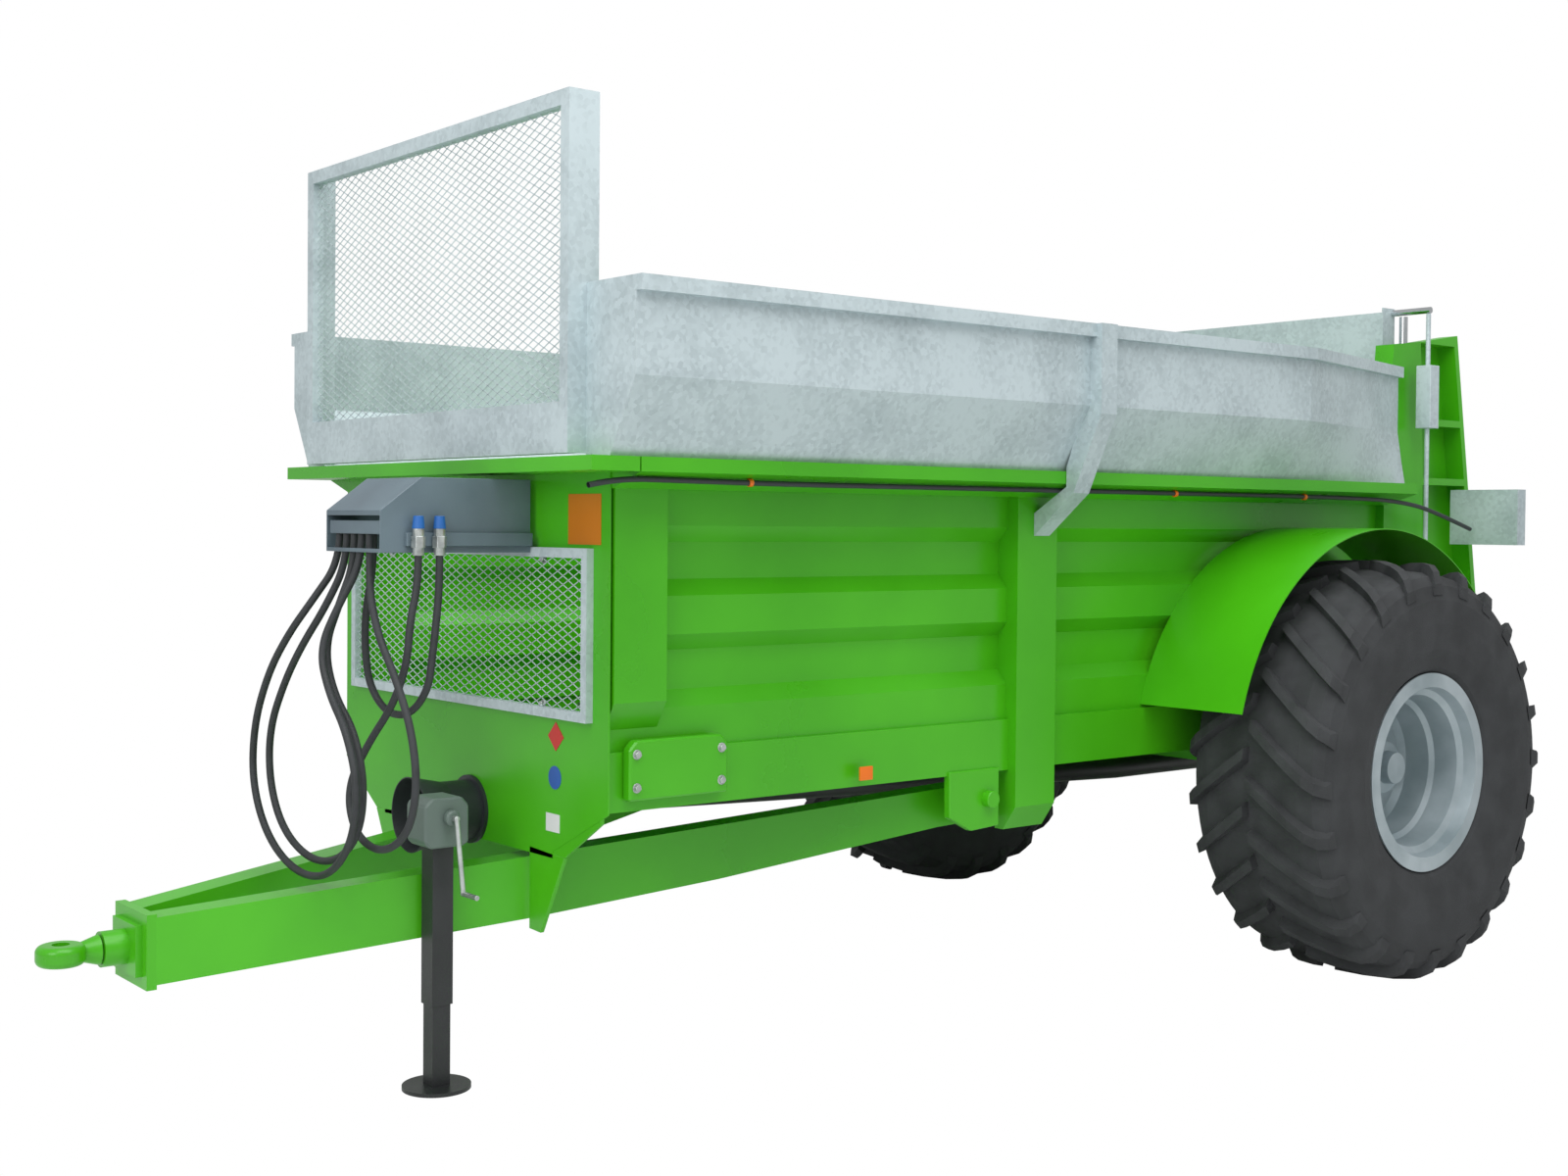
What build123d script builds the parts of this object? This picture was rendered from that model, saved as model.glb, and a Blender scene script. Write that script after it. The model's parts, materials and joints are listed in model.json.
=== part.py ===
"""Single-axle manure spreader: welded green load box on an A-frame drawbar, galvanised extension sides and
guards, hydraulic sluice gate and two leaning vertical beaters.

Frame: +X points the way it is towed, +Y is its left, +Z is up. The origin is on the ground, on the centre
line, half way along the machine. Millimetres. Places along the machine are given ahead of the axle.
"""
from build123d import *
from math import atan2, cos, degrees, hypot, radians, sin, tan
import os

os.makedirs("parts", exist_ok=True)

# ------------------------------------------------------------------ driving dimensions
AXLE_X = -1445.0            # the axle, behind the middle of the machine
TRACK = 2460.0              # between the wheels' middles
TYRE_RADIUS = 806.0
TYRE_WIDTH = 600.0
RIM_RADIUS = 380.0          # over the rim's flanges

PLATE = 5.0                 # wall of the body
BODY_FRONT = 3335.0         # outer face of the front wall, ahead of the axle
BODY_REAR = -640.0          # rear end of the ribbed sides, where the rear frames begin
INNER_HALF = 770.0          # half the inside width of the load box
RIB_DEPTH = 45.0            # how far the ribs stand out of the side sheets
POST_HALF = 870.0           # the posts' outer faces, from the centre line
FLOOR_Z = 1000.0            # top of the floor
RAIL_Z = 870.0              # underside of the body rails
RAIL_TOP = 1050.0
RIM_Z = 1836.0              # underside of the top rim
RIM_TOP = 1926.0
RIM_HALF = 1020.0           # outer edge of the top rim

EXTENSION_TOP = 2430.0      # top rail of the galvanised extension sides
GUARD_FRONT = 3490.0        # front face of the upper guard, ahead of the axle
GUARD_HALF = 875.0
GUARD_TOP = 2985.0
GRILLE_Z = (1136.0, 1657.0)

GATE_X = -760.0             # front face of the sluice gate, ahead of the axle
GATE_TOP = 2680.0
BEATER_LEAN = 9.0           # degrees that the beaters' tops lean forward
BEATER_RADIUS = 365.0
BEATER_SPACING = 760.0
BEATER_FOOT = (-1450.0, 960.0)   # foot of the beater axes: ahead of the axle, above the ground

DRAWBAR_NOSE = (4420.0, 480.0)   # hitch plate: ahead of the axle, above the ground
EYE_X = 4636.0                   # middle of the towing eye
JACK = (3630.0, 374.0)           # jack's axis: ahead of the axle, left of the centre line
PTO = (55.0, 790.0)          # input shaft: left of the centre line, above the ground

MOVING_GAP = 5.0            # between pieces that move past each other
RUNNING = 0.05              # radial clearance of a shaft in its bearing


def ahead(distance):
    """X of a place that many millimetres ahead of the axle."""
    return AXLE_X + distance


def save(piece, node):
    """Label a finished piece and write its STEP file."""
    piece.part.label = node
    export_step(piece.part, f"parts/{node}.step")


def save_pair(left, node):
    """Write a left-hand piece and its mirrored right-hand twin."""
    save(left, f"{node}_left")
    with BuildPart() as right:
        mirror(left.part, about=Plane.XZ)
    save(right, f"{node}_right")


def across(x):
    """Sketch plane across the machine at X: its axes are Y and Z."""
    return Plane.YZ.offset(x)


def along(y):
    """Sketch plane along the machine at Y: its axes are X and Z, and it extrudes to the left."""
    return Plane(origin=(0, y, 0), x_dir=(-1, 0, 0), z_dir=(0, 1, 0))


def side_outline(points):
    """Closed outline on an along() plane, from (X, Z) pairs."""
    Polyline(*[(-x, z) for x, z in points], close=True)


# ------------------------------------------------------------------ load box: ribbed side with posts, rail and rim
RIDGE_HALF = INNER_HALF + PLATE + RIB_DEPTH
VALLEY_HALF = INNER_HALF + PLATE
RIDGES = ((1727.0, RIM_Z), (1395.0, 1513.0), (RAIL_TOP, 1173.0))   # bottom, top of each rib's flat
RIB_SLOPE = 50.0            # height of a rib's sloping flank
CORNER_POST = (3130.0, 3320.0)   # ahead of the axle
MID_POST = (1420.0, 1620.0)
POST_FOOT = 655.0           # lowest point of the mid post
RIM_LIP = 43.0              # height of the rim's outer lip
RIM_FRONT = 3500.0


def rib_points(shift):
    """(Y, Z) down the side sheet's face, moved inward by shift."""
    points = []
    for bottom, top in RIDGES:
        if points:
            points.append((VALLEY_HALF - shift, top + RIB_SLOPE))
        points += [(RIDGE_HALF - shift, top), (RIDGE_HALF - shift, bottom)]
        if bottom > RAIL_TOP:
            points.append((VALLEY_HALF - shift, bottom - RIB_SLOPE))
    return points


with BuildPart() as body_side:
    # pressed sheet with three ribs
    with BuildSketch(across(ahead(BODY_REAR))):
        with BuildLine():
            Polyline(*rib_points(0), *reversed(rib_points(PLATE)), close=True)
        make_face()
    extrude(amount=BODY_FRONT - BODY_REAR - PLATE)
    # bottom rail, a channel open to the inside
    with BuildSketch(across(ahead(BODY_REAR))):
        with BuildLine():
            Polyline((RIDGE_HALF - PLATE, RAIL_TOP), (RIDGE_HALF + 15, RAIL_TOP), (RIDGE_HALF + 15, RAIL_Z),
                     (INNER_HALF - 10, RAIL_Z), (INNER_HALF - 10, RAIL_Z + PLATE),
                     (RIDGE_HALF + 15 - PLATE, RAIL_Z + PLATE), (RIDGE_HALF + 15 - PLATE, RAIL_TOP - PLATE),
                     (RIDGE_HALF - PLATE, RAIL_TOP - PLATE), close=True)
        make_face()
    extrude(amount=BODY_FRONT - BODY_REAR - PLATE)
    # posts: front corner, middle
    for (rear, front), taper_top, foot in ((CORNER_POST, 1200.0, 1100.0), (MID_POST, 740.0, POST_FOOT)):
        with BuildSketch(across(ahead(rear))):
            with BuildLine():
                Polyline((VALLEY_HALF - PLATE, RIM_Z), (POST_HALF, RIM_Z), (POST_HALF, taper_top),
                         (RIDGE_HALF - 10, foot), (VALLEY_HALF - PLATE, foot), close=True)
            make_face()
        extrude(amount=front - rear)
    # top rim: a folded flange with a lip
    with BuildSketch(across(ahead(BODY_REAR))):
        with BuildLine():
            Polyline((INNER_HALF, RIM_Z), (POST_HALF, RIM_Z), (RIM_HALF, RIM_TOP - RIM_LIP), (RIM_HALF, RIM_TOP),
                     (INNER_HALF, RIM_TOP), close=True)
        make_face()
    extrude(amount=BODY_FRONT - BODY_REAR - PLATE)
save_pair(body_side, "body_side")

# ------------------------------------------------------------------ front wall with its grille window and rim
FRONT_HALF = POST_HALF - 5
SKIRT = ((FRONT_HALF, 870.0), (560.0, 720.0), (560.0, 700.0))   # cut lower corner, (Y, Z)
with BuildPart() as front_wall:
    with BuildSketch(across(ahead(BODY_FRONT) - PLATE)):
        with BuildLine():
            right_corner = [(-y, z) for y, z in SKIRT]
            Polyline((FRONT_HALF, RIM_TOP), *SKIRT, *reversed(right_corner), (-FRONT_HALF, RIM_TOP), close=True)
        make_face()
        with Locations((0, sum(GRILLE_Z) / 2)):
            Rectangle(2 * INNER_HALF - 80, GRILLE_Z[1] - GRILLE_Z[0] - 60, mode=Mode.SUBTRACT)
        with Locations(PTO):
            Circle(85, mode=Mode.SUBTRACT)
    extrude(amount=PLATE)
    # front rim
    with BuildSketch(Plane.XY.offset(RIM_TOP - RIM_LIP)):
        with Locations(((ahead(BODY_FRONT) + ahead(RIM_FRONT)) / 2, 0)):
            Rectangle(RIM_FRONT - BODY_FRONT, 2 * RIM_HALF)
    extrude(amount=RIM_LIP)
save(front_wall, "front_wall")

# ------------------------------------------------------------------ floor and scraper conveyor
CHAIN_HALF = 380.0
FLOOR_REAR = -1060.0        # clear of the beaters' sweep
SLAT_PITCH = 380.0
SLAT_SECTION = (40.0, 25.0)
with BuildPart() as floor:
    with BuildSketch(Plane.XY.offset(FLOOR_Z)):
        with Locations((ahead((BODY_FRONT + FLOOR_REAR) / 2), 0)):
            Rectangle(BODY_FRONT - FLOOR_REAR - 2 * PLATE, 2 * INNER_HALF - 2)
    extrude(amount=-PLATE)
save(floor, "floor")

slat_count = int((BODY_FRONT - GATE_X - 200) / SLAT_PITCH)
with BuildPart() as conveyor:
    for y in (-CHAIN_HALF, CHAIN_HALF):
        with Locations((ahead((BODY_FRONT + GATE_X) / 2 - 100), y, FLOOR_Z)):
            Box(BODY_FRONT - GATE_X - 160, 30, 14, align=(Align.CENTER, Align.CENTER, Align.MIN))
    for i in range(slat_count):
        with Locations((ahead(BODY_FRONT - 180 - i * SLAT_PITCH), 0, FLOOR_Z)):
            Box(SLAT_SECTION[0], 2 * INNER_HALF - 60, SLAT_SECTION[1],
                align=(Align.CENTER, Align.CENTER, Align.MIN))
save(conveyor, "conveyor")

# ------------------------------------------------------------------ chassis under the floor
CHASSIS_HALF = 450.0
CHASSIS_HEIGHT = 120.0
CHASSIS_Z = FLOOR_Z - PLATE - CHASSIS_HEIGHT
CROSS_MEMBERS = (3200.0, 2500.0, 1800.0, 1100.0, 400.0, -400.0, -1000.0)   # ahead of the axle
with BuildPart() as chassis:
    for y in (-CHASSIS_HALF, CHASSIS_HALF):
        with Locations((ahead((BODY_FRONT + FLOOR_REAR) / 2) - PLATE, y, CHASSIS_Z)):
            Box(BODY_FRONT - FLOOR_REAR - 2 * PLATE, 80, CHASSIS_HEIGHT,
                align=(Align.CENTER, Align.CENTER, Align.MIN))
    for x in CROSS_MEMBERS:
        with Locations((ahead(x), 0, CHASSIS_Z + 40)):
            Box(60, 2 * INNER_HALF - 20, CHASSIS_HEIGHT - 40, align=(Align.CENTER, Align.CENTER, Align.MIN))
save(chassis, "chassis")

# ------------------------------------------------------------------ axle
AXLE_SQUARE = 120.0
SPINDLE_RADIUS = 45.0
HUB_INNER = TRACK / 2 - 190.0    # inner face of the hub, from the centre line
SPINDLE_END = TRACK / 2 + 60.0
with BuildPart() as axle:
    with Locations((AXLE_X, 0, TYRE_RADIUS)):
        Box(AXLE_SQUARE, 2 * (HUB_INNER - MOVING_GAP), AXLE_SQUARE)
    for y in (-CHASSIS_HALF, CHASSIS_HALF):
        with Locations((AXLE_X, y, TYRE_RADIUS + AXLE_SQUARE / 2)):
            Box(300, 120, CHASSIS_Z - TYRE_RADIUS - AXLE_SQUARE / 2,
                align=(Align.CENTER, Align.CENTER, Align.MIN))
    with BuildSketch(Plane.XZ.offset(-SPINDLE_END)):
        with Locations((AXLE_X, TYRE_RADIUS)):
            Circle(SPINDLE_RADIUS)
    extrude(amount=2 * SPINDLE_END)
save(axle, "axle")

# ------------------------------------------------------------------ wheels: tyre, dished rim with hub
BEAD_RADIUS = 330.0
TYRE_CROWN = 40.0           # drop of the tread from its middle to its edge
CARCASS = 25.0              # wall of the tyre
SEAT_HALF = 250.0           # half the width between the rim's flanges
DISC_Y = TRACK / 2 - 40.0   # the wheel disc, well inside the outer flange
HUB_RADIUS = 100.0
with BuildPart() as tyre:
    with BuildSketch(Plane(origin=(AXLE_X, TRACK / 2, TYRE_RADIUS), x_dir=(0, 1, 0), z_dir=(1, 0, 0))):
        with BuildLine():
            half = TYRE_WIDTH / 2
            shoulder = TYRE_RADIUS - TYRE_CROWN
            Polyline((-SEAT_HALF, BEAD_RADIUS), (-SEAT_HALF, RIM_RADIUS + 6), (-half, 560), (-half + 8, 700))
            ThreePointArc((-half + 8, 700), (-half + 25, 745), (-half + 50, shoulder))
            ThreePointArc((-half + 50, shoulder), (0, TYRE_RADIUS), (half - 50, shoulder))
            ThreePointArc((half - 50, shoulder), (half - 25, 745), (half - 8, 700))
            Polyline((half - 8, 700), (half, 560), (SEAT_HALF, RIM_RADIUS + 6), (SEAT_HALF, BEAD_RADIUS),
                     (SEAT_HALF - 30, BEAD_RADIUS), (SEAT_HALF - 30, RIM_RADIUS + 6), (half - CARCASS, 560),
                     (half - CARCASS - 8, 700), (half - 2 * CARCASS, shoulder - CARCASS),
                     (2 * CARCASS - half, shoulder - CARCASS), (8 + CARCASS - half, 700), (CARCASS - half, 560),
                     (30 - SEAT_HALF, RIM_RADIUS + 6), (30 - SEAT_HALF, BEAD_RADIUS), (-SEAT_HALF, BEAD_RADIUS))
        make_face()
    revolve(axis=Axis((AXLE_X, 0, TYRE_RADIUS), (0, 1, 0)))
save_pair(tyre, "tyre")

with BuildPart() as rim:
    with BuildSketch(Plane(origin=(AXLE_X, TRACK / 2, TYRE_RADIUS), x_dir=(0, 1, 0), z_dir=(1, 0, 0))):
        with BuildLine():
            # the barrel and its disc, from the outer flange inwards
            seat = BEAD_RADIUS - 0.3
            bore = SPINDLE_RADIUS + RUNNING
            Polyline((SEAT_HALF + 2, RIM_RADIUS), (SEAT_HALF + 10, RIM_RADIUS), (SEAT_HALF + 10, seat - 4),
                     (215, seat - 14), (200, 292), (110, 280), (95, 262), (0, 252), (-28, 236), (-28, 160),
                     (20, HUB_RADIUS), (70, HUB_RADIUS), (76, 65), (118, 60), (118, 0), (60 + MOVING_GAP, 0),
                     (60 + MOVING_GAP, bore), (-190, bore), (-190, HUB_RADIUS - 15), (-40, HUB_RADIUS),
                     (-40, 236), (-14, 260), (84, 272), (99, 288), (186, 300), (205, seat - 4), (240, seat),
                     (SEAT_HALF + 2, seat), close=True)
        make_face()
        # inner half of the barrel
        with BuildLine():
            Polyline((-SEAT_HALF - 2, RIM_RADIUS), (-SEAT_HALF - 10, RIM_RADIUS), (-SEAT_HALF - 10, seat - 6),
                     (-200, 300), (-60, 268), (-30, 240), (-20, 252), (-55, 278), (-190, 310), (-215, seat),
                     (-SEAT_HALF - 2, seat), close=True)
        make_face()
    revolve(axis=Axis((AXLE_X, 0, TYRE_RADIUS), (0, 1, 0)))
save_pair(rim, "rim")

# ------------------------------------------------------------------ mudguards
GUARD_RADIUS = 930.0
GUARD_SPAN = (16.0, 160.0)   # degrees up from the front
GUARD_WIDTH = (RIDGE_HALF, 1290.0)
with BuildPart() as mudguard:
    with BuildSketch(along(GUARD_WIDTH[0])):
        start, end = GUARD_SPAN
        with BuildLine():
            for radius in (GUARD_RADIUS, GUARD_RADIUS - 4):
                CenterArc((-AXLE_X, TYRE_RADIUS), radius, 180 - end, end - start)
            for angle in (180 - end, 180 - start):
                direction = Vector(cos(radians(angle)), sin(radians(angle)))
                Line(Vector(-AXLE_X, TYRE_RADIUS) + direction * (GUARD_RADIUS - 4),
                     Vector(-AXLE_X, TYRE_RADIUS) + direction * GUARD_RADIUS)
        make_face()
    extrude(amount=GUARD_WIDTH[1] - GUARD_WIDTH[0])
    # room for the rear frame behind the ribbed side
    with Locations((ahead(BODY_REAR), GUARD_WIDTH[0], 0)):
        Box(1000, POST_HALF - GUARD_WIDTH[0] - PLATE, 3000, align=(Align.MAX, Align.MIN, Align.MIN),
            mode=Mode.SUBTRACT)
save_pair(mudguard, "mudguard")

# ------------------------------------------------------------------ galvanised extension sides with their braces
SHEET = 4.0
FOOT_HALF = 1000.0          # foot of the extension, on the rim
KNEE = (1050.0, 2014.0)     # (Y, Z) where the foot turns into the slope
SHOULDER = (1128.0, 2150.0)  # where the slope turns upright
RAIL_HALF = 1155.0          # outer face of the top rail
EXTENSION_SPAN = (-720.0, -270.0 + 540.0, 3426.0)   # rear end, start of the taper, front end
REAR_HALF = 870.0           # the rear end is this far from the centre line
BRACE_X = 1500.0


def extension_section(inward):
    """(Y, Z) of the extension's section, moved inward for the tapering rear stretch."""
    outer = [(FOOT_HALF, RIM_TOP), (KNEE[0], KNEE[1]), (SHOULDER[0], SHOULDER[1]),
             (SHOULDER[0], EXTENSION_TOP - 45), (RAIL_HALF, EXTENSION_TOP - 45), (RAIL_HALF, EXTENSION_TOP),
             (SHOULDER[0] - SHEET, EXTENSION_TOP), (SHOULDER[0] - SHEET, SHOULDER[1] + 1),
             (KNEE[0] - SHEET, KNEE[1] + 1), (FOOT_HALF - 40, RIM_TOP + SHEET), (FOOT_HALF - 40, RIM_TOP)]
    return [(y - inward * min(1.0, (z - RIM_TOP + 120) / 340), z) for y, z in outer]


with BuildPart() as extension_side:
    rear, taper, front = EXTENSION_SPAN
    with BuildSketch(across(ahead(taper))):
        with BuildLine():
            Polyline(*extension_section(0), close=True)
        make_face()
    extrude(amount=front - taper)
    for x, inward in ((taper, 0.0), (rear, SHOULDER[0] - REAR_HALF)):
        with BuildSketch(across(ahead(x))):
            with BuildLine():
                Polyline(*extension_section(inward), close=True)
            make_face()
    loft(ruled=True)
    # front gusset that closes the flare against the guard
    with BuildSketch(across(ahead(front))):
        with BuildLine():
            Polyline((GUARD_HALF, RIM_TOP), (FOOT_HALF, RIM_TOP), KNEE, SHOULDER, (SHOULDER[0], EXTENSION_TOP),
                     (GUARD_HALF, EXTENSION_TOP), close=True)
        make_face()
    extrude(amount=-SHEET)
    # stanchion and its brace down to the middle post
    with BuildSketch(across(ahead(BRACE_X - 40))):
        with BuildLine():
            Polyline((SHOULDER[0], EXTENSION_TOP), (SHOULDER[0] + 50, EXTENSION_TOP), (SHOULDER[0] + 50, 2120),
                     (RIM_HALF + 35, 1850), (POST_HALF + 1, 1700), (POST_HALF + 1, 1780), (RIM_HALF + 2, 1872),
                     (RIM_HALF + 2, 1940), (KNEE[0], KNEE[1]), SHOULDER, close=True)
        make_face()
    extrude(amount=80)
save_pair(extension_side, "extension_side")

# ------------------------------------------------------------------ upper guard and lower grille
GUARD_DEPTH = 105.0
GUARD_BAR = 45.0
GUARD_FOOT = 1935.0
GRILLE_DEPTH = 25.0


def frame_and_mesh(front, half, bottom, top, bar, depth, strip):
    """Rectangular frame with its expanded-metal panel: (frame, mesh)."""
    with BuildPart() as frame:
        with BuildSketch(across(ahead(front))):
            with Locations((0, (bottom + top) / 2)):
                Rectangle(2 * half, top - bottom)
            with Locations((0, (bottom + strip + top - bar) / 2)):
                Rectangle(2 * (half - bar), top - bar - bottom - strip, mode=Mode.SUBTRACT)
        extrude(amount=-depth)
    with BuildPart() as mesh:
        with Locations((ahead(front) - depth / 2, 0, (bottom + strip + top - bar) / 2)):
            Box(4, 2 * (half - bar), top - bar - bottom - strip)
    return frame, mesh


guard_frame, guard_mesh = frame_and_mesh(GUARD_FRONT, GUARD_HALF, GUARD_FOOT, GUARD_TOP, GUARD_BAR, 40, 150)
with BuildPart(mode=Mode.PRIVATE) as guard_cheek:
    with Locations((ahead(GUARD_FRONT) - 40, GUARD_HALF, GUARD_FOOT)):
        Box(GUARD_DEPTH - 40, 5, GUARD_TOP - GUARD_FOOT, align=(Align.MAX, Align.MAX, Align.MIN))
with guard_frame:
    add(guard_cheek.part)
    mirror(guard_cheek.part, about=Plane.XZ)
save(guard_frame, "guard_frame")
save(guard_mesh, "guard_mesh")
grille_frame, grille_mesh = frame_and_mesh(BODY_FRONT + GRILLE_DEPTH, INNER_HALF + 10, *GRILLE_Z, 30,
                                           GRILLE_DEPTH, 30)
save(grille_frame, "grille_frame")
save(grille_mesh, "grille_mesh")

# ------------------------------------------------------------------ drawbar: two tapering beams and the hitch plate
BEAM_WIDTH = 100.0
BEAM_FRONT = (4420.0, 127.0)     # outer face: ahead of the axle, left of the centre line
BEAM_REAR = (1670.0, 761.0)
BEAM_HEIGHTS = ((4420.0, 382.0, 579.0), (3300.0, 482.0, 679.0), (2670.0, 555.0, 735.0),
                (1850.0, 674.0, 808.0), (1670.0, 690.0, 824.0))   # ahead, underside, top
PIVOT = (1740.0, 755.0)          # drawbar pivot: ahead of the axle, above the ground
PIVOT_RADIUS = 25.0
beam_length = hypot(BEAM_FRONT[0] - BEAM_REAR[0], BEAM_REAR[1] - BEAM_FRONT[1])
beam_turn = atan2(BEAM_REAR[1] - BEAM_FRONT[1], BEAM_FRONT[0] - BEAM_REAR[0])
beam_back = (-cos(beam_turn), sin(beam_turn), 0)
beam_out = (sin(beam_turn), cos(beam_turn), 0)
with BuildPart() as beam:
    beam_plane = Plane(origin=(ahead(BEAM_FRONT[0]), BEAM_FRONT[1], 0), x_dir=beam_back, z_dir=beam_out)
    with BuildSketch(beam_plane):
        with BuildLine():
            stations = [((BEAM_FRONT[0] - x) / cos(beam_turn), low, top) for x, low, top in BEAM_HEIGHTS]
            Polyline(*[(s, low) for s, low, top in stations], *[(s, top) for s, low, top in reversed(stations)],
                     close=True)
        make_face()
    extrude(amount=-BEAM_WIDTH)
    split(bisect_by=Plane.XZ, keep=Keep.BOTTOM)
with BuildPart() as drawbar:
    add(beam.part)
    mirror(beam.part, about=Plane.XZ)
    with Locations((ahead(DRAWBAR_NOSE[0]), 0, DRAWBAR_NOSE[1])):
        Box(30, 260, 220)
save(drawbar, "drawbar")

# ------------------------------------------------------------------ towing eye on its swivel housing
NOSE_X = DRAWBAR_NOSE[0] + 15        # front of the hitch plate
NOSE_Z = DRAWBAR_NOSE[1]
HOUSING_RADIUS = 52.0
HOUSING_LENGTH = 90.0
EYE_RADIUS = 70.0
EYE_HOLE = 25.0
with BuildPart() as eye_housing:
    with BuildSketch(across(ahead(NOSE_X))):
        with Locations((0, NOSE_Z)):
            Rectangle(190, 150)
    extrude(amount=20)
    with BuildSketch(across(ahead(NOSE_X))):
        with Locations((0, NOSE_Z)):
            Circle(HOUSING_RADIUS)
    extrude(amount=HOUSING_LENGTH)
    with BuildSketch(across(ahead(NOSE_X + 25))):
        with Locations((0, NOSE_Z)):
            Circle(20 + RUNNING)
    extrude(amount=HOUSING_LENGTH, mode=Mode.SUBTRACT)
save(eye_housing, "eye_housing")

EYE_COLLAR = NOSE_X + HOUSING_LENGTH + MOVING_GAP
with BuildPart() as tow_eye:
    with BuildSketch(Plane.XY.offset(NOSE_Z - 30)):
        with Locations((ahead(EYE_X), 0)):
            Circle(EYE_RADIUS)
    extrude(amount=60)
    fillet(tow_eye.edges().filter_by(GeomType.CIRCLE), 20)
    with BuildSketch(across(ahead(EYE_COLLAR))):
        with Locations((0, NOSE_Z)):
            Circle(44)
    with BuildSketch(across(ahead(EYE_X - EYE_RADIUS + 20))):
        with Locations((0, NOSE_Z)):
            Circle(27)
    loft(ruled=True)
    with BuildSketch(across(ahead(NOSE_X + 30))):
        with Locations((0, NOSE_Z)):
            Circle(20)
    extrude(amount=EYE_COLLAR - NOSE_X - 30)
    with BuildSketch(Plane.XY.offset(NOSE_Z - 60)):
        with Locations((ahead(EYE_X), 0)):
            Circle(EYE_HOLE)
    extrude(amount=120, mode=Mode.SUBTRACT)
save(tow_eye, "tow_eye")

# ------------------------------------------------------------------ parking jack
JACK_TUBE = 70.0
JACK_WALL = 4.0
JACK_TOP = 870.0
JACK_TUBE_FOOT = 260.0
LEG_SIZE = JACK_TUBE - 2 * JACK_WALL - 2
LEG_TOP = 560.0
FOOT_RADIUS = 105.0
jack_x, jack_y = ahead(JACK[0]), JACK[1]
with BuildPart() as jack_tube:
    with BuildSketch(Plane.XY.offset(JACK_TUBE_FOOT)):
        with Locations((jack_x, jack_y)):
            Rectangle(JACK_TUBE, JACK_TUBE)
            Rectangle(JACK_TUBE - 2 * JACK_WALL, JACK_TUBE - 2 * JACK_WALL, mode=Mode.SUBTRACT)
    extrude(amount=JACK_TOP - 55 - JACK_TUBE_FOOT)
save(jack_tube, "jack_tube")

with BuildPart() as jack_head:
    with BuildSketch(Plane(origin=(jack_x, jack_y, JACK_TOP), x_dir=(1, 0, 0), z_dir=(0, -1, 0))):
        RectangleRounded(100, 110, 20)
    extrude(amount=45, both=True)
    # crank: boss, arm down and handle
    with BuildLine() as crank_line:
        Polyline((jack_x, jack_y + 40, JACK_TOP + 10), (jack_x, jack_y + 90, JACK_TOP + 10),
                 (jack_x + 8, jack_y + 100, JACK_TOP - 30), (jack_x + 8, jack_y + 100, JACK_TOP - 190))
    with BuildSketch(Plane(origin=(jack_x, jack_y + 40, JACK_TOP + 10), z_dir=(0, 1, 0))):
        Circle(9)
    sweep(path=crank_line.line, transition=Transition.RIGHT)
save(jack_head, "jack_head")

with BuildPart() as jack_leg:
    with BuildSketch(Plane.XY.offset(12)):
        with Locations((jack_x, jack_y)):
            Rectangle(LEG_SIZE, LEG_SIZE)
            Rectangle(LEG_SIZE - 10, LEG_SIZE - 10, mode=Mode.SUBTRACT)
    extrude(amount=LEG_TOP - 12)
    with BuildSketch(Plane.XY):
        with Locations((jack_x, jack_y)):
            Circle(FOOT_RADIUS)
    extrude(amount=12)
save(jack_leg, "jack_leg")

# ------------------------------------------------------------------ driveline: input shaft, its guard, shaft tube
PTO_RADIUS = 17.5
PTO_STUB = (30.0, 200.0)     # the splined stub, ahead of the front wall
JOURNAL = 25.0
SHAFT_TUBE = 45.0
BELL_LENGTH = 225.0
with BuildPart() as pto_guard:
    with BuildSketch(Plane(origin=(0, *PTO), x_dir=(1, 0, 0), z_dir=(0, -1, 0))):
        with BuildLine():
            Polyline((ahead(BODY_FRONT), 75), (ahead(BODY_FRONT), 112), (ahead(BODY_FRONT + 12), 112),
                     (ahead(BODY_FRONT + 12), 97), (ahead(BODY_FRONT + 110), 97),
                     (ahead(BODY_FRONT + BELL_LENGTH), 122), (ahead(BODY_FRONT + BELL_LENGTH), 118),
                     (ahead(BODY_FRONT + 112), 93), (ahead(BODY_FRONT + 12), 93), (ahead(BODY_FRONT + 12), 75),
                     close=True)
        make_face()
    revolve(axis=Axis((0, *PTO), (1, 0, 0)))
save(pto_guard, "pto_guard")

with BuildPart() as pto_shaft:
    with BuildSketch(across(ahead(BODY_FRONT - 120))):
        with Locations(PTO):
            Circle(JOURNAL)
    extrude(amount=120 + PTO_STUB[0])
    with BuildSketch(across(ahead(BODY_FRONT + PTO_STUB[0]))):
        with Locations(PTO):
            Circle(PTO_RADIUS)
    extrude(amount=PTO_STUB[1] - PTO_STUB[0])
save(pto_shaft, "pto_shaft")

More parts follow.
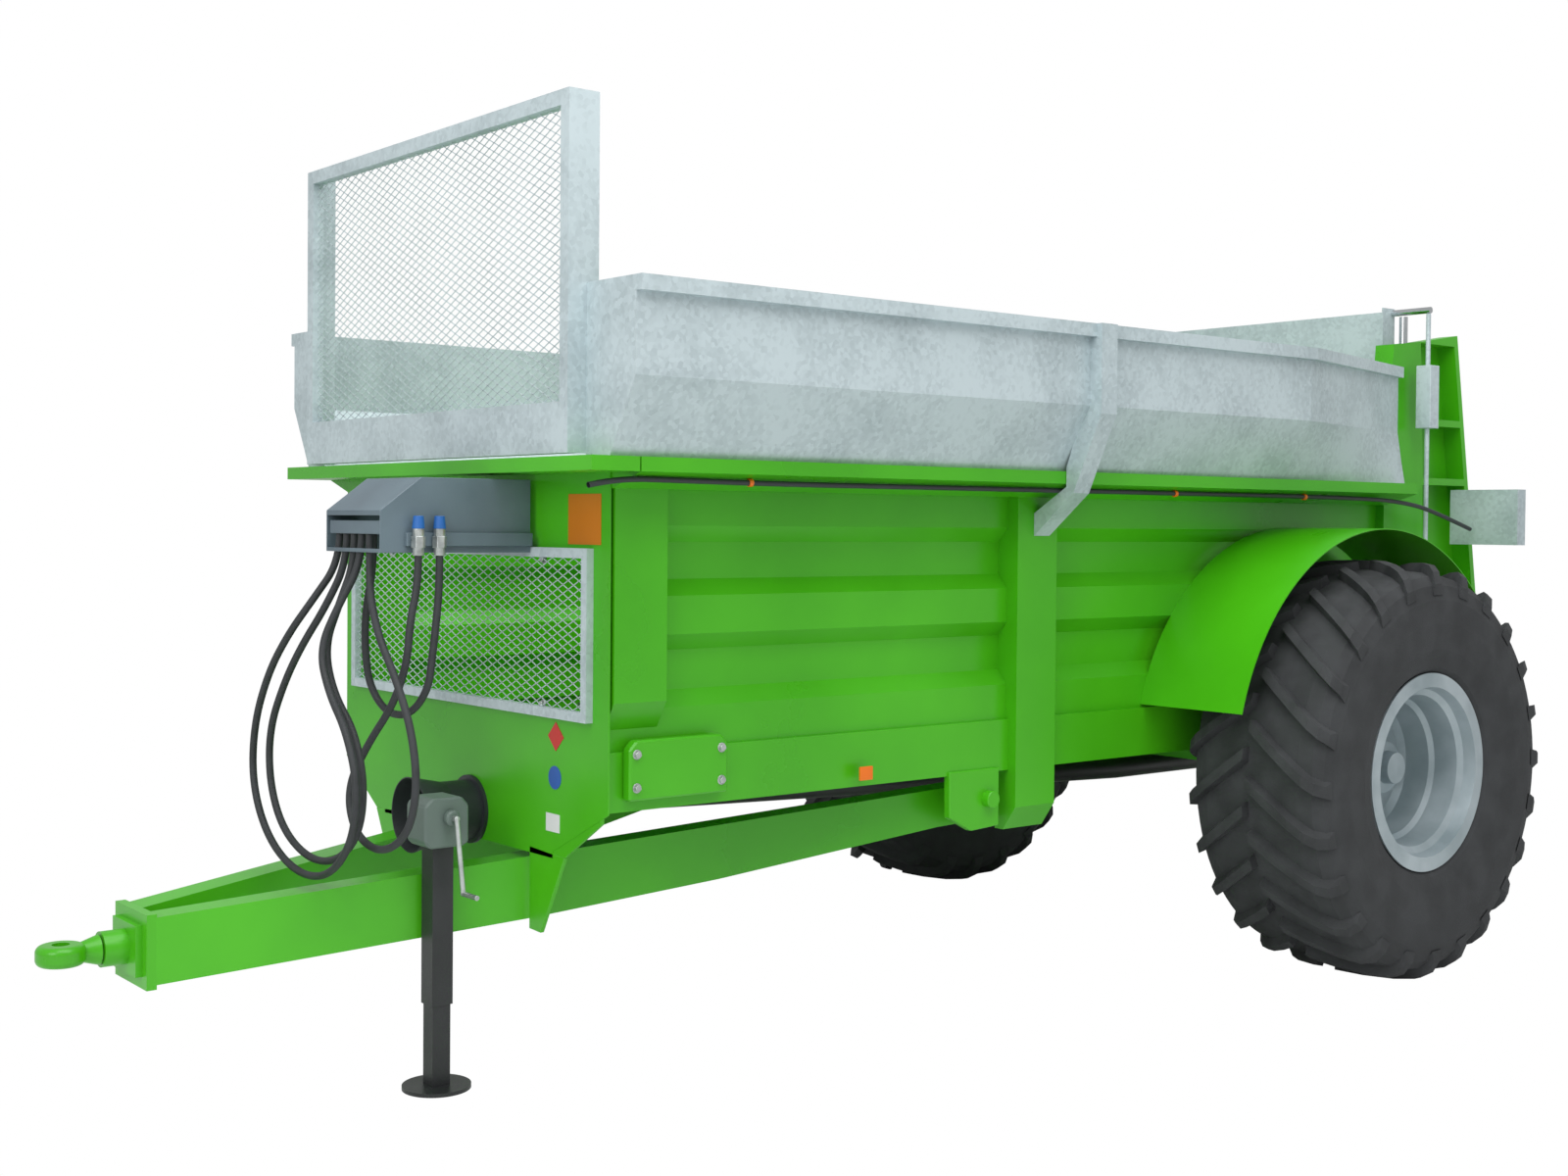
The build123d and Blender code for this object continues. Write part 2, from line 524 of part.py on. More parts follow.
SHAFT_DROP = (150.0, 680.0)  # where the tube turns level under the axle: ahead of the axle, above the ground
SHAFT_REAR = -1250.0
with BuildPart() as shaft_tube:
    with BuildSketch(across(ahead(BODY_FRONT - PLATE))):
        with Locations(PTO):
            Circle(60)
            Circle(JOURNAL + RUNNING, mode=Mode.SUBTRACT)
    extrude(amount=-150)
    with BuildLine() as tube_line:
        Polyline((ahead(BODY_FRONT - 145), *PTO), (ahead(SHAFT_DROP[0]), PTO[0], SHAFT_DROP[1]),
                 (ahead(SHAFT_REAR), PTO[0], SHAFT_DROP[1]))
    with BuildSketch(Plane(origin=tube_line.line @ 0, z_dir=tube_line.line % 0)):
        Circle(SHAFT_TUBE)
    sweep(path=tube_line.line, transition=Transition.RIGHT)
save(shaft_tube, "shaft_tube")

# ------------------------------------------------------------------ beaters: tube, flights and foot disc
BEATER_TUBE = 90.0
BEATER_HEIGHT = 1480.0
FLIGHT_PITCH = 640.0
FLIGHT_STEPS = 10           # flat plates in each turn
FLIGHT_TURNS = 2.0
FLIGHT_PLATE = 10.0
DISC_RADIUS = 370.0
BEARING_RADIUS = 30.0
lean = radians(BEATER_LEAN)
beater_axis = (sin(lean), 0, cos(lean))


def beater_plane(height):
    """Plane square to the left beater's axis at that height above its foot."""
    origin = (ahead(BEATER_FOOT[0]) + height * sin(lean), BEATER_SPACING / 2, BEATER_FOOT[1] + height * cos(lean))
    return Plane(origin=origin, x_dir=(cos(lean), 0, -sin(lean)), z_dir=beater_axis)


def flight_edge(angle, height):
    """Plane through the axis for a flight's radial edge, its X pointing outwards at that angle."""
    base = beater_plane(height)
    out = base.x_dir * cos(radians(angle)) + base.y_dir * sin(radians(angle))
    return Plane(origin=base.origin, x_dir=out, z_dir=base.z_dir.cross(out))


with BuildPart() as beater:
    with BuildSketch(beater_plane(0)):
        Circle(BEATER_TUBE)
    extrude(amount=BEATER_HEIGHT)
    with BuildSketch(beater_plane(0)):
        Circle(DISC_RADIUS)
    extrude(amount=8)
    # two flights, each plate a wedge between two radial edges
    step_turn = 360.0 / FLIGHT_STEPS
    step_rise = FLIGHT_PITCH / FLIGHT_STEPS
    for start in (0, 180):
        for i in range(int(FLIGHT_TURNS * FLIGHT_STEPS)):
            for j in (i, i + 1):
                with BuildSketch(flight_edge(start + j * step_turn, 20 + j * step_rise)):
                    with Locations((BEATER_TUBE - 15, 0)):
                        Rectangle(BEATER_RADIUS - BEATER_TUBE + 15, FLIGHT_PLATE, align=(Align.MIN, Align.MIN))
            loft(ruled=True)
    # bearing journals
    with BuildSketch(beater_plane(-60)):
        Circle(BEARING_RADIUS)
    extrude(amount=BEATER_HEIGHT + 120)
save_pair(beater, "beater")

# ------------------------------------------------------------------ beater drive box below and bearing beam above
BOX_HEIGHT = 120.0
with BuildPart() as beater_drive:
    with BuildSketch(beater_plane(-MOVING_GAP - 10).move(Location((0, -BEATER_SPACING / 2, 0)))):
        Rectangle(220, 2 * INNER_HALF - 2)
    extrude(amount=-BOX_HEIGHT)
    for sign in (1, -1):
        plane = beater_plane(-200)
        with BuildSketch(Plane(origin=(plane.origin.X, sign * BEATER_SPACING / 2, plane.origin.Z),
                               x_dir=plane.x_dir, z_dir=plane.z_dir)):
            Circle(BEARING_RADIUS + RUNNING)
        extrude(amount=400, mode=Mode.SUBTRACT)
save(beater_drive, "beater_drive")

with BuildPart() as top_beam:
    with BuildSketch(beater_plane(BEATER_HEIGHT + MOVING_GAP).move(Location((0, -BEATER_SPACING / 2, 0)))):
        Rectangle(160, 2 * INNER_HALF - 2)
    extrude(amount=80)
    for sign in (1, -1):
        plane = beater_plane(BEATER_HEIGHT - 50)
        with BuildSketch(Plane(origin=(plane.origin.X, sign * BEATER_SPACING / 2, plane.origin.Z),
                               x_dir=plane.x_dir, z_dir=plane.z_dir)):
            Circle(BEARING_RADIUS + RUNNING)
        extrude(amount=300, mode=Mode.SUBTRACT)
save(top_beam, "top_beam")

# ------------------------------------------------------------------ rear side frames round the gate and beaters
POST_DEPTH = 90.0
REAR_SLOPE = tan(lean)
FRAME_TOP = 2530.0
REAR_TOP = 2600.0
FRAME_POST = (-640.0, -935.0)    # front and rear of the hollow post, ahead of the axle
REAR_FLANGE = 30.0
CHEEK_FOOT = RAIL_Z - 60


def rear_edge(z):
    """The frame's rear edge, ahead of the axle, at height z."""
    return -1302.0 + (z - RIM_TOP) * REAR_SLOPE


def window(front_low, front_high, low, high):
    """Recess between the post, the ribs and the rear flange."""
    side_outline([(ahead(front_low), low), (ahead(front_high), high),
                  (ahead(rear_edge(high) + REAR_FLANGE), high), (ahead(rear_edge(low) + REAR_FLANGE), low)])


with BuildPart() as rear_frame:
    with BuildSketch(along(INNER_HALF)) as frame_outline:
        with BuildLine():
            side_outline([(ahead(FRAME_POST[0]), CHEEK_FOOT), (ahead(FRAME_POST[0]), RIM_TOP),
                          (ahead(FRAME_POST[0] - 60), FRAME_TOP), (ahead(FRAME_POST[1] + 20), FRAME_TOP + 25),
                          (ahead(rear_edge(REAR_TOP)), REAR_TOP), (ahead(rear_edge(CHEEK_FOOT)), CHEEK_FOOT)])
        make_face()
    extrude(amount=PLATE)
    with BuildSketch(along(INNER_HALF)):
        add(frame_outline.sketch_local)
        for low, high in ((2220.0, 2550.0), (1960.0, 2190.0), (1400.0, 1930.0), (900.0, 1370.0)):
            with BuildLine():
                window(FRAME_POST[1], FRAME_POST[1] + (high - RIM_TOP) * 0.05, low, high)
            make_face(mode=Mode.SUBTRACT)
    extrude(amount=POST_DEPTH)
    # the post is a hollow box, open at its top for the lift rod
    with Locations((ahead(sum(FRAME_POST) / 2 - 40), INNER_HALF + PLATE, CHEEK_FOOT + 40)):
        Box(FRAME_POST[0] - FRAME_POST[1] - 100, POST_DEPTH - 2 * PLATE, 2000,
            align=(Align.CENTER, Align.MIN, Align.MIN), mode=Mode.SUBTRACT)
save_pair(rear_frame, "rear_frame")

# ------------------------------------------------------------------ sluice gate with its lift rods
GATE_SHEET = 4.0
GATE_FOOT = FLOOR_Z + SLAT_SECTION[1] + MOVING_GAP + 10
GATE_HALF = INNER_HALF - MOVING_GAP - 1
ROD = (-835.0, 818.0)       # left lift rod: ahead of the axle, from the centre line
ROD_RADIUS = 18.0
ARM_END = 950.0             # outer end of the gate's lift arms
LIFT = 1100.0
with BuildPart() as sluice_gate:
    with Locations((ahead(GATE_X), 0, GATE_FOOT)):
        Box(GATE_SHEET, 2 * GATE_HALF, GATE_TOP - GATE_FOOT, align=(Align.MAX, Align.CENTER, Align.MIN))
    for y in (-GATE_HALF, GATE_HALF):
        with Locations((ahead(GATE_X), y, GATE_FOOT)):
            Box(90, 5, GATE_TOP - GATE_FOOT + 20,
                align=(Align.MAX, Align.MIN if y < 0 else Align.MAX, Align.MIN))
    for z in (GATE_FOOT + 20, (GATE_FOOT + GATE_TOP) / 2, GATE_TOP - 60):
        with Locations((ahead(GATE_X), 0, z)):
            Box(60, 2 * GATE_HALF, 40, align=(Align.MAX, Align.CENTER, Align.MIN))
save(sluice_gate, "sluice_gate")

with BuildPart() as lift_rods:
    for sign in (1, -1):
        with Locations((ahead(ROD[0]), sign * ROD[1], FRAME_TOP - 900)):
            Cylinder(ROD_RADIUS, GATE_TOP - FRAME_TOP + 900 - 20, align=(Align.CENTER, Align.CENTER, Align.MIN))
        with Locations((ahead(ROD[0]), sign * (ROD[1] + ARM_END) / 2 - sign * (ROD[1] - GATE_HALF) / 2, GATE_TOP)):
            Cylinder(14, ARM_END - GATE_HALF, rotation=(90, 0, 0))
save(lift_rods, "lift_rods")

with BuildPart() as lift_cylinders:
    for sign in (1, -1):
        with Locations((ahead(ROD[0]), sign * ROD[1], FRAME_TOP - 1300)):
            Cylinder(ROD_RADIUS + 14, 1280, align=(Align.CENTER, Align.CENTER, Align.MIN))
            Cylinder(ROD_RADIUS + 1, 1300, align=(Align.CENTER, Align.CENTER, Align.MIN), mode=Mode.SUBTRACT)
save(lift_cylinders, "lift_cylinders")

# ------------------------------------------------------------------ rear light boxes
LIGHT_BOX = (-1150.0, 1186.0, 1668.0, 1910.0)   # front ahead of the axle, outer edge, underside, top
with BuildPart() as light_box:
    with Locations((ahead(LIGHT_BOX[0]), LIGHT_BOX[1], LIGHT_BOX[2])):
        Box(65, LIGHT_BOX[1] - VALLEY_HALF - 90, LIGHT_BOX[3] - LIGHT_BOX[2],
            align=(Align.MAX, Align.MAX, Align.MIN))
save_pair(light_box, "light_box")

# ------------------------------------------------------------------ hose holder on the front wall
HOLDER = ((3380.0, 3870.0), (120.0, 460.0), (1680.0, 1830.0))   # X ahead of the axle, Y, Z
with BuildPart() as hose_holder:
    (x0, x1), (y0, y1), (z0, z1) = HOLDER
    with Locations((ahead((x0 + x1) / 2), (y0 + y1) / 2, (z0 + z1) / 2)):
        Box(x1 - x0, y1 - y0, z1 - z0)
        with Locations((10, 0, -10)):
            Box(x1 - x0, y1 - y0 - 10, z1 - z0 - 20, mode=Mode.SUBTRACT)
save(hose_holder, "hose_holder")
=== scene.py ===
"""Manure spreader: a single-axle machine in gloss green enamel with hot-dip galvanised extension sides and guards."""
import json
from math import cos, pi, radians, sin
import bpy
import bmesh
from mathutils import Matrix, Vector


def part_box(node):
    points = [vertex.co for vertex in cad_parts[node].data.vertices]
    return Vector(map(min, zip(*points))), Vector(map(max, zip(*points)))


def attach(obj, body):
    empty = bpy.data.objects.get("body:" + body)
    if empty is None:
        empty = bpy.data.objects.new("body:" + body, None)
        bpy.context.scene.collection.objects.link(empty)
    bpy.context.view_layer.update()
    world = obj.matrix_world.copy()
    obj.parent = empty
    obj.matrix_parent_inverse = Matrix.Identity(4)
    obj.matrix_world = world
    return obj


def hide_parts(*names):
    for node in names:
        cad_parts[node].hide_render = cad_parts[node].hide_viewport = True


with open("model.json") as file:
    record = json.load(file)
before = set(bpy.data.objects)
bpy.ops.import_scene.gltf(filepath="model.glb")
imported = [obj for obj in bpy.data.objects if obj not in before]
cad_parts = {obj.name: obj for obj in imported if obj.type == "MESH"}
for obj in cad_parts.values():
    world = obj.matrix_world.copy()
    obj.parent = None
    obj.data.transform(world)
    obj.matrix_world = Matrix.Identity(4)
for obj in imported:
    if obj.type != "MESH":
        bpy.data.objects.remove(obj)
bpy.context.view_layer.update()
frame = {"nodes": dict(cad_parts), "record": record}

# ---------------------------------------------------------------- camera
# A standard lens at eye height, ahead of the machine on its left. It leans by half a degree.
tyre_low, tyre_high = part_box("tyre_left")
AXLE = (tyre_low + tyre_high) / 2
AXLE_X = AXLE.x
CAMERA_PLACE = (6.349, 5.404, 1.737)      # ahead of the axle, left of the centre line, above the ground
CAMERA_HEADING, CAMERA_PITCH, CAMERA_ROLL = radians(141.015), radians(1.10), radians(0.478)
LENS = 42.37
LENS_RISE = -0.0187

camera = bpy.data.objects.new("camera", bpy.data.cameras.new("camera"))
bpy.context.scene.collection.objects.link(camera)
camera.data.lens = LENS
camera.data.shift_y = LENS_RISE
forward = Vector((-sin(CAMERA_HEADING) * cos(CAMERA_PITCH), cos(CAMERA_HEADING) * cos(CAMERA_PITCH),
                  -sin(CAMERA_PITCH)))
level = Vector((cos(CAMERA_HEADING), sin(CAMERA_HEADING), 0))
upward = level.cross(forward)
side = level * cos(CAMERA_ROLL) + upward * sin(CAMERA_ROLL)
rise = upward * cos(CAMERA_ROLL) - level * sin(CAMERA_ROLL)
turn = Matrix((side, rise, -forward)).transposed().to_4x4()
camera.matrix_world = Matrix.Translation((AXLE_X + CAMERA_PLACE[0], CAMERA_PLACE[1], CAMERA_PLACE[2])) @ turn
camera.data.clip_end = 200
bpy.context.scene.camera = camera

# ---------------------------------------------------------------- studio
# A floor that is plain white to the camera and pale to every other ray, a soft white sky, and two area lamps:
# a large one overhead and a smaller one ahead of the machine.


def linear(code):
    """sRGB hex colour as linear RGBA."""
    parts = [int(code[i:i + 2], 16) / 255 for i in (1, 3, 5)]
    return [c / 12.92 if c <= 0.04045 else ((c + 0.055) / 1.055) ** 2.4 for c in parts] + [1.0]


def add_node(tree, kind, settings=(), **links):
    """One node with its settings, and its inputs set or linked by name (underscores for spaces)."""
    node = tree.nodes.new(kind)
    for name, value in dict(settings).items():
        setattr(node, name, value)
    for name, value in links.items():
        socket = node.inputs[int(name[1:])] if name[0] == "i" and name[1:].isdigit() else node.inputs[
            name.replace("_", " ")]
        if isinstance(value, bpy.types.NodeSocket):
            tree.links.new(value, socket)
        else:
            socket.default_value = value
    return node


scene = bpy.context.scene
scene.view_settings.view_transform = "Standard"

bpy.ops.mesh.primitive_plane_add(size=60)
floor_plane = bpy.context.object
floor_plane.name = "studio_floor"
floor_paint = bpy.data.materials.new("studio_floor")
floor_paint.use_nodes = True
tree = floor_paint.node_tree
tree.nodes.clear()
rays = add_node(tree, "ShaderNodeLightPath")
bounce = add_node(tree, "ShaderNodeBsdfDiffuse", Color=linear("#E9EAEA"))
glow = add_node(tree, "ShaderNodeEmission", Color=linear("#FFFFFF"), Strength=1.0)
blend = add_node(tree, "ShaderNodeMixShader", i0=rays.outputs["Is Camera Ray"], i1=bounce.outputs[0],
                 i2=glow.outputs[0])
add_node(tree, "ShaderNodeOutputMaterial", Surface=blend.outputs[0])
floor_plane.data.materials.append(floor_paint)

world = bpy.data.worlds.new("studio")
scene.world = world
world.use_nodes = True
tree = world.node_tree
tree.nodes.clear()
SKY_LIGHT = 0.55
rays = add_node(tree, "ShaderNodeLightPath")
seen = add_node(tree, "ShaderNodeMath", {"operation": "MAXIMUM"}, i0=rays.outputs["Is Camera Ray"],
                i1=rays.outputs["Is Transmission Ray"])
strength = add_node(tree, "ShaderNodeMapRange", Value=seen.outputs[0], To_Min=SKY_LIGHT, To_Max=1.0)
sky = add_node(tree, "ShaderNodeBackground", Color=linear("#FFFFFF"), Strength=strength.outputs[0])
add_node(tree, "ShaderNodeOutputWorld", Surface=sky.outputs[0])

for name, place, size, power in (("overhead_lamp", (1.5, 2.5, 7.0), 7.0, 420.0),
                                 ("front_lamp", (8.0, 3.0, 4.5), 4.0, 160.0)):
    lamp = bpy.data.objects.new(name, bpy.data.lights.new(name, "AREA"))
    lamp.data.size = size
    lamp.data.energy = power
    lamp.location = place
    lamp.rotation_euler = (Vector((0, 0, 1)) - lamp.location).to_track_quat("-Z", "Y").to_euler()
    scene.collection.objects.link(lamp)

# ---------------------------------------------------------------- materials
# Each finish has two tones mixed by a noise, or by spangle cells on zinc, with its own gloss and fine relief.
SPANGLE_SCALE = 70.0


def make_paint(name, light, dark, roughness, metallic=0.0, scale=3.0, relief=0.02, grain=180.0, spangle=False):
    """A procedural finish: tone and gloss vary over the piece, and a fine grain lifts the surface."""
    paint = bpy.data.materials.new(name)
    paint.use_nodes = True
    tree = paint.node_tree
    shader = tree.nodes["Principled BSDF"]
    place = add_node(tree, "ShaderNodeTexCoord").outputs["Object"]
    broad = add_node(tree, "ShaderNodeTexNoise", Vector=place, Scale=scale, Detail=6.0)
    tone = broad.outputs[0]
    if spangle:
        cells = add_node(tree, "ShaderNodeTexVoronoi", Vector=place, Scale=SPANGLE_SCALE)
        tone = add_node(tree, "ShaderNodeMath", {"operation": "MULTIPLY_ADD"}, i0=cells.outputs["Color"], i1=0.35,
                        i2=broad.outputs[0]).outputs[0]
    share = add_node(tree, "ShaderNodeMapRange", Value=tone, From_Min=0.35, From_Max=0.8 if spangle else 0.65)
    mixed = add_node(tree, "ShaderNodeMix", {"data_type": "RGBA"}, i0=share.outputs[0], i6=linear(dark),
                     i7=linear(light))
    gloss = add_node(tree, "ShaderNodeMapRange", Value=broad.outputs[0], From_Min=0.3, From_Max=0.7,
                     To_Min=roughness * 0.85, To_Max=min(1.0, roughness * 1.2))
    fine = add_node(tree, "ShaderNodeTexNoise", Vector=place, Scale=grain, Detail=3.0)
    bump = add_node(tree, "ShaderNodeBump", Strength=relief * 10, Distance=0.002, Height=fine.outputs[0])
    tree.links.new(mixed.outputs[2], shader.inputs["Base Color"])
    tree.links.new(gloss.outputs[0], shader.inputs["Roughness"])
    tree.links.new(bump.outputs[0], shader.inputs["Normal"])
    shader.inputs["Metallic"].default_value = metallic
    return paint


PAINTS = {
    "green_paint": make_paint("green_paint", "#4CB812", "#41A60C", 0.30, scale=1.2, relief=0.006, grain=90.0),
    "galvanised": make_paint("galvanised", "#C6D4D8", "#A9B8BC", 0.48, 0.25, 4.0, 0.01, 150.0, True),
    "black_paint": make_paint("black_paint", "#2B2D2F", "#1F2122", 0.38),
    "tyre": make_paint("tyre", "#3E4042", "#2C2E30", 0.82, scale=9.0, relief=0.04, grain=260.0),
    "rim_silver": make_paint("rim_silver", "#B3BFC4", "#97A5AA", 0.36, 0.35, 5.0),
    "black_plastic": make_paint("black_plastic", "#31373A", "#262B2D", 0.5, relief=0.03, grain=400.0),
    "steel": make_paint("steel", "#A6ABAD", "#7E8486", 0.4, 0.8, 14.0),
    "chrome": make_paint("chrome", "#D5D9DB", "#C3C8CA", 0.14, 1.0, 6.0, 0.002),
    "anthracite": make_paint("anthracite", "#667780", "#566670", 0.42),
    "jack_grey": make_paint("jack_grey", "#66766F", "#566560", 0.45),
    "rubber": make_paint("rubber", "#34373A", "#292C2E", 0.6, scale=20.0, relief=0.03, grain=500.0),
    "zinc": make_paint("zinc", "#CDD2D0", "#A8AEAC", 0.32, 0.8, 30.0),
    "blue_cap": make_paint("blue_cap", "#2465B0", "#1D5596", 0.45),
    "orange": make_paint("orange", "#F0760F", "#DD680A", 0.35, relief=0.004),
    "label_orange": make_paint("label_orange", "#D07A0C", "#C07008", 0.4, relief=0.004),
    "label_white": make_paint("label_white", "#E8EAEA", "#DCDEDE", 0.4, relief=0.004),
    "label_blue": make_paint("label_blue", "#2E62B4", "#27569F", 0.4, relief=0.004),
    "label_red": make_paint("label_red", "#C8322A", "#B42B24", 0.4, relief=0.004),
}
for part in frame["record"]["subparts"]:
    node = frame["nodes"][part["node"]]
    node.data.materials.clear()
    node.data.materials.append(PAINTS[part["material_slot"]])

# ---------------------------------------------------------------- builders
# Places are metres ahead of the axle, left of the centre line and above the ground; a piece's mesh holds its place.
BEVEL = 0.0015
WALL_X = 3.335            # outer face of the front wall


def prism(mesh, outline, axis, low, high):
    """A straight solid: outline in the other two axes, in their order, from low to high along axis (0, 1 or 2)."""
    rows = []
    for level in (low, high):
        rows.append([mesh.verts.new((*p[:axis], level, *p[axis:])) for p in outline])
    mesh.faces.new(rows[0])
    mesh.faces.new(rows[1][::-1])
    for i in range(len(outline)):
        j = (i + 1) % len(outline)
        mesh.faces.new((rows[0][i], rows[1][i], rows[1][j], rows[0][j]))


def box(mesh, low, high):
    """A block between two corners."""
    prism(mesh, [(low[0], low[1]), (high[0], low[1]), (high[0], high[1]), (low[0], high[1])], 2, low[2], high[2])


def rod(mesh, start, end, radius, sides=20, tip=None):
    """A round bar, or a taper with its own tip radius."""
    start, end = Vector(start), Vector(end)
    across = (end - start).normalized().orthogonal().normalized()
    over = (end - start).normalized().cross(across)
    rows = []
    for centre, size in ((start, radius), (end, radius if tip is None else tip)):
        rows.append([mesh.verts.new(centre + size * (across * cos(2 * pi * i / sides) + over * sin(2 * pi * i / sides)))
                     for i in range(sides)])
    mesh.faces.new(rows[0])
    mesh.faces.new(rows[1][::-1])
    for i in range(sides):
        j = (i + 1) % sides
        mesh.faces.new((rows[0][i], rows[1][i], rows[1][j], rows[0][j]))


def piece(name, mesh, paint, body="chassis", replaces=(), bevel=BEVEL, smooth=False):
    """Moves the making from the axle to the row frame, rounds its edges and gives it its body and slot."""
    bmesh.ops.translate(mesh, verts=mesh.verts, vec=(AXLE_X, 0, 0))
    bmesh.ops.recalc_face_normals(mesh, faces=mesh.faces)
    data = bpy.data.meshes.new(name)
    mesh.to_mesh(data)
    mesh.free()
    made = bpy.data.objects.new(name, data)
    scene.collection.objects.link(made)
    if bevel:
        edge = made.modifiers.new("edges", "BEVEL")
        edge.width = bevel
        edge.limit_method = "ANGLE"
        made.data = bpy.data.meshes.new_from_object(made.evaluated_get(bpy.context.evaluated_depsgraph_get()))
        made.modifiers.clear()
    made.data.materials.clear()
    made.data.materials.append(PAINTS[paint])
    if smooth:
        made.data.shade_smooth()
    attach(made, body)
    if replaces:
        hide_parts(*replaces)
    return made


def copies_group():
    """Geometry Nodes: the shape on every point, turned by the point's own attribute, made real and painted."""
    group = bpy.data.node_groups.new("copies", "GeometryNodeTree")
    for name, kind in (("Points", "Geometry"), ("Shape", "Object"), ("Paint", "Material")):
        group.interface.new_socket(name, in_out="INPUT", socket_type="NodeSocket" + kind)
    group.interface.new_socket("Result", in_out="OUTPUT", socket_type="NodeSocketGeometry")
    given = add_node(group, "NodeGroupInput")
    shape = add_node(group, "GeometryNodeObjectInfo", Object=given.outputs["Shape"])
    turn = add_node(group, "GeometryNodeInputNamedAttribute", {"data_type": "FLOAT_VECTOR"}, Name="turn")
    spread = add_node(group, "GeometryNodeInstanceOnPoints", Points=given.outputs["Points"],
                      Instance=shape.outputs["Geometry"], Rotation=turn.outputs[0])
    real = add_node(group, "GeometryNodeRealizeInstances", Geometry=spread.outputs[0])
    coat = add_node(group, "GeometryNodeSetMaterial", Geometry=real.outputs[0], Material=given.outputs["Paint"])
    add_node(group, "NodeGroupOutput", Result=coat.outputs[0])
    return group


COPIES = copies_group()


def copies(shape, spots, paint):
    """The mesh of one shape repeated at spots, each a place and a turn."""
    pattern = bpy.data.meshes.new("shape")
    bmesh.ops.recalc_face_normals(shape, faces=shape.faces)
    shape.to_mesh(pattern)
    shape.free()
    one = bpy.data.objects.new("shape", pattern)
    points = bpy.data.meshes.new("points")
    points.from_pydata([spot for spot, turn in spots], [], [])
    turns = points.attributes.new("turn", "FLOAT_VECTOR", "POINT")
    for i, (spot, turn) in enumerate(spots):
        turns.data[i].vector = turn
    host = bpy.data.objects.new("points", points)
    for made in (one, host):
        scene.collection.objects.link(made)
    nodes = host.modifiers.new("copies", "NODES")
    nodes.node_group = COPIES
    for item in COPIES.interface.items_tree:
        if item.name == "Shape":
            nodes[item.identifier] = one
        if item.name == "Paint":
            nodes[item.identifier] = PAINTS[paint]
    bpy.context.view_layer.update()
    result = bpy.data.meshes.new_from_object(host.evaluated_get(bpy.context.evaluated_depsgraph_get()))
    for made in (host, one):
        bpy.data.objects.remove(made)
    return result


# ---------------------------------------------------------------- hoses
# Four free hydraulic hoses hanging in loops ahead of the front wall. Two start at the couplers, two in the holder,
# and all end in the holder's block. Length in metres, then the route in millimetres ahead of the axle.
HOSE_WIDTH = 0.023
HOSES = {
    "hose_upper_loop": (2.664, [
        (3848, 250, 1710), (3848, 250, 1610), (3890, 240, 1490), (3932, 222, 1355), (3935, 290, 1220),
        (3930, 425, 1115), (3935, 500, 965), (3930, 455, 815), (3930, 310, 715), (3930, 110, 695), (3935, -70, 765),
        (3930, -180, 900), (3935, -170, 1070), (3930, -70, 1225), (3935, 70, 1350), (3900, 160, 1470),
        (3848, 200, 1610), (3848, 200, 1710)]),
    "hose_upper_loop_twin": (2.802, [
        (3848, 300, 1710), (3848, 300, 1610), (3920, 290, 1480), (3968, 265, 1350), (3968, 330, 1225),
        (3970, 455, 1120), (3970, 530, 965), (3970, 490, 795), (3970, 330, 675), (3970, 110, 657), (3970, -100, 735),
        (3970, -220, 890), (3970, -210, 1080), (3970, -100, 1255), (3970, 50, 1385), (3925, 122, 1490),
        (3848, 150, 1610), (3848, 150, 1710)]),
    "hose_side_loop": (2.209, [
        (3761, 490, 1640), (3761, 490, 1550), (3790, 495, 1440), (3800, 500, 1320), (3820, 450, 1190),
        (3850, 350, 1070), (3880, 270, 930), (3885, 330, 800), (3880, 490, 760), (3870, 640, 830), (3865, 690, 970),
        (3862, 650, 1130), (3860, 550, 1270), (3862, 440, 1390), (3858, 375, 1505), (3848, 350, 1610),
        (3848, 350, 1710)]),
    "hose_drop": (1.220, [
        (3690, 488, 1640), (3690, 488, 1540), (3700, 489, 1437), (3712, 488, 1333), (3725, 487, 1230),
        (3745, 408, 1150), (3765, 297, 1150), (3782, 218, 1229), (3792, 207, 1340), (3798, 222, 1460),
        (3790, 260, 1600), (3790, 260, 1710)]),
}
for name, (length, route) in HOSES.items():
    line = bpy.data.curves.new(name, "CURVE")
    line.dimensions = "3D"
    line.bevel_depth = HOSE_WIDTH / 2
    line.bevel_resolution = 5
    line.use_fill_caps = True
    spline = line.splines.new("NURBS")
    spline.points.add(len(route) - 1)
    for point, (x, y, z) in zip(spline.points, route):
        point.co = (AXLE_X + x / 1000, y / 1000, z / 1000, 1)
    spline.order_u = 3
    spline.use_endpoint_u = True
    spline.resolution_u = 12
    hose = bpy.data.objects.new(name, line)
    scene.collection.objects.link(hose)
    line.materials.append(PAINTS["rubber"])
    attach(hose, "chassis")

# ---------------------------------------------------------------- hose holder
# An open sheet-steel hood with a sloping front, the block that the hoses' ends push into, its mounting strip, and
# two capped couplers beside it.
mesh = bmesh.new()
HOOD_SIDE = [(3.36, 1.64), (3.36, 1.865), (3.736, 1.865), (3.87, 1.765), (3.87, 1.64)]
for low, high in ((0.10, 0.104), (0.456, 0.46)):
    prism(mesh, HOOD_SIDE, 1, low, high)
prism(mesh, [(3.36, 1.861), (3.36, 1.865), (3.736, 1.865), (3.87, 1.765), (3.87, 1.761), (3.735, 1.861)], 1, 0.104,
      0.456)
box(mesh, (3.866, 0.104, 1.75), (3.87, 0.456, 1.7635))
box(mesh, (3.866, 0.104, 1.64), (3.87, 0.456, 1.652))
box(mesh, (3.76, 0.115, 1.695), (3.865, 0.445, 1.735))
